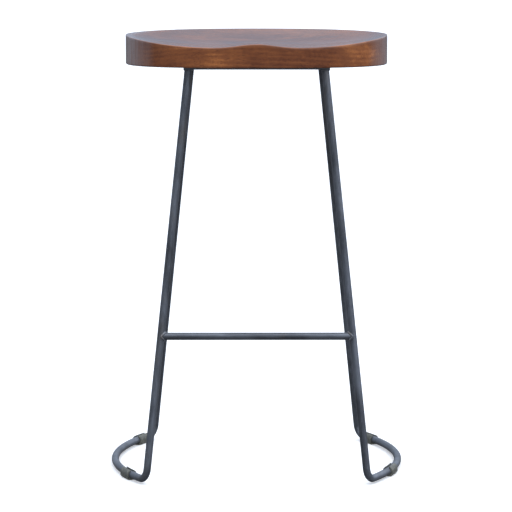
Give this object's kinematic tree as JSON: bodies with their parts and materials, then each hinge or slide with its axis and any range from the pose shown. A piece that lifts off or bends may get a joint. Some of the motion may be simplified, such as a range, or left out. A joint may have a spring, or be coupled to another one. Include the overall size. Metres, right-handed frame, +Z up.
{
  "type": "bar stool",
  "caption": "Backless bar stool with a carved wooden saddle seat on a splayed bent-rod steel base with a footrest bar and clip-on floor glides.",
  "frame": {"origin": "on the floor, under the middle of the stool", "axes": "+Z up, -Y towards the front where the footrest is, +X to the right seen from the front"},
  "size_m": [0.5126, 0.409, 0.76],
  "materials": {
    "lacquered_wood": "reddish-brown hardwood under satin lacquer, grain running side to side",
    "dark_steel": "blue-grey gunmetal finish under clear lacquer, brushed along the rod",
    "weld_metal": "rippled weld bead under the same dark finish, a little lighter",
    "screw_steel": "zinc-plated",
    "black_plastic": "moulded charcoal plastic, slightly glossy"
  },
  "bodies": {
    "root": {"seat": "lacquered_wood", "left_side_frame": "dark_steel", "right_side_frame": "dark_steel", "footrest_bar": "dark_steel", "front_mounting_bar": "dark_steel", "rear_mounting_bar": "dark_steel", "left_mounting_bar": "dark_steel", "right_mounting_bar": "dark_steel", "left_footrest_weld": "weld_metal", "right_footrest_weld": "weld_metal", "front_left_leg_weld": "weld_metal", "front_left_seam_weld": "weld_metal", "front_right_leg_weld": "weld_metal", "front_right_seam_weld": "weld_metal", "rear_left_leg_weld": "weld_metal", "rear_left_seam_weld": "weld_metal", "rear_right_leg_weld": "weld_metal", "rear_right_seam_weld": "weld_metal", "seat_screws": "screw_steel", "front_left_glide": "black_plastic", "front_right_glide": "black_plastic", "rear_left_glide": "black_plastic", "rear_right_glide": "black_plastic"}
  },
  "joints": []
}
